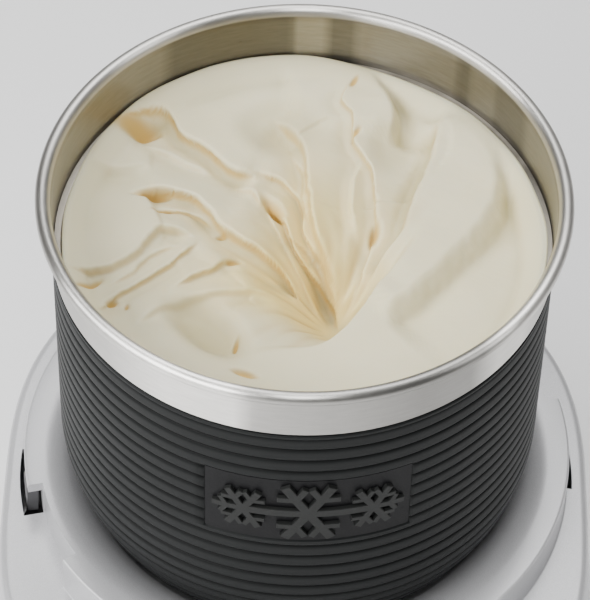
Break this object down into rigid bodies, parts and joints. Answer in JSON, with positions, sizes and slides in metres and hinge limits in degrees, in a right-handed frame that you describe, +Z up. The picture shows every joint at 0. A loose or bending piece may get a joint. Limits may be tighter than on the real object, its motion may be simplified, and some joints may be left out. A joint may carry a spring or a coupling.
{
  "type": "ice cream maker",
  "caption": "Countertop ice cream maker: a geared turntable base with a collar and a lift-out double-walled freezer bowl holding churned ice cream.",
  "frame": {"origin": "on the surface the feet stand on, under the turntable's spindle, at the middle of the base", "axes": "+Z up along the spindle, -Y towards the front with the power switch and badge, +X to the right seen from the front"},
  "size_m": [0.248, 0.248, 0.2724],
  "materials": {
    "satin_silver": "moulded plastic with a satin silver coating",
    "brushed_steel": "spun stainless steel, brushed round the bowl",
    "dark_grip": "ribbed soft-touch grip, satin",
    "badge_dark": "smooth satin plate",
    "badge_light": "satin raised emblem",
    "ice_cream": null,
    "coolant": "opaque frozen gel",
    "black_plastic": "fine moulded texture",
    "grey_plastic": "moulded, satin",
    "white_plastic": "natural acetal, satin",
    "rubber": "matte",
    "steel": "plated steel",
    "bronze": "sintered bronze",
    "lamination": "stacked laminations",
    "copper": "enamelled copper wire"
  },
  "bodies": {
    "base": {"upper_housing": "satin_silver", "bottom_plate": "black_plastic", "foot_1": "rubber", "foot_2": "rubber", "foot_3": "rubber", "foot_4": "rubber", "bottom_screw_1": "steel", "bottom_screw_2": "steel", "bottom_screw_3": "steel", "bottom_screw_4": "steel", "gearbox_tray": "grey_plastic", "gearbox_cover": "grey_plastic", "gearbox_post_1": "steel", "gearbox_post_2": "steel", "gearbox_post_3": "steel", "gearbox_screw_1": "steel", "gearbox_screw_2": "steel", "gearbox_screw_3": "steel", "lower_bush": "bronze", "upper_bush": "bronze", "idler_axle": "steel", "shaft_seal": "rubber", "motor_can": "steel", "motor_end_plate": "steel", "stator_core": "lamination", "upper_winding": "copper", "lower_winding": "copper", "upper_motor_bush": "bronze", "lower_motor_bush": "bronze", "switch_bezel": "black_plastic", "switch_contacts": "grey_plastic", "cord_gland": "black_plastic", "terminal_block": "white_plastic", "interlock_switch": "black_plastic"},
    "turntable": {"turntable": "grey_plastic", "output_shaft": "steel", "output_gear": "white_plastic", "gear_clip": "steel"},
    "idler": {"idler_wheel": "white_plastic", "idler_pinion": "steel"},
    "rotor": {"rotor_shaft": "steel", "rotor_core": "lamination", "motor_pinion": "steel", "cooling_fan": "black_plastic"},
    "bowl": {"bowl_shell": "brushed_steel", "inner_cup": "brushed_steel", "coolant_gel": "coolant", "bowl_sleeve": "dark_grip", "badge_plate": "badge_dark", "badge_emblem": "badge_light", "drive_socket": "black_plastic"},
    "contents": {"ice_cream": "ice_cream"},
    "rocker": {"power_rocker": "black_plastic"},
    "plunger": {"interlock_plunger": "grey_plastic"}
  },
  "joints": [
    {"name": "turntable_spin", "type": "hinge", "parent": "base", "child": "turntable", "pos_m": [0, 0, 0.09], "axis": [0, 0, 1], "continuous": true},
    {"name": "idler_spin", "type": "hinge", "parent": "base", "child": "idler", "pos_m": [-0.04936, 0.0285, 0.07], "axis": [0, 0, 1], "continuous": true},
    {"name": "rotor_spin", "type": "hinge", "parent": "base", "child": "rotor", "pos_m": [-0.01489, 0.05743, 0.05], "axis": [0, 0, 1], "continuous": true},
    {"name": "bowl_lift", "type": "slide", "parent": "turntable", "child": "bowl", "axis": [0, 0, 1], "range_m": [0, 0.12]},
    {"name": "contents_lift", "type": "slide", "parent": "bowl", "child": "contents", "axis": [0, 0, 1], "range_m": [0, 0.14]},
    {"name": "rocker_tilt", "type": "hinge", "parent": "base", "child": "rocker", "pos_m": [0, -0.11537, 0.04452], "axis": [-1, 0, 0], "range_deg": [0, 16]},
    {"name": "plunger_press", "type": "slide", "parent": "base", "child": "plunger", "axis": [0, 0, 1], "range_m": [-0.003, 0], "stiffness_N_per_m": 300, "springref_m": 0.002}
  ],
  "couplings": [
    {"joint": "idler_spin", "follows": "turntable_spin", "ratio": -3.75},
    {"joint": "rotor_spin", "follows": "turntable_spin", "ratio": 15}
  ]
}
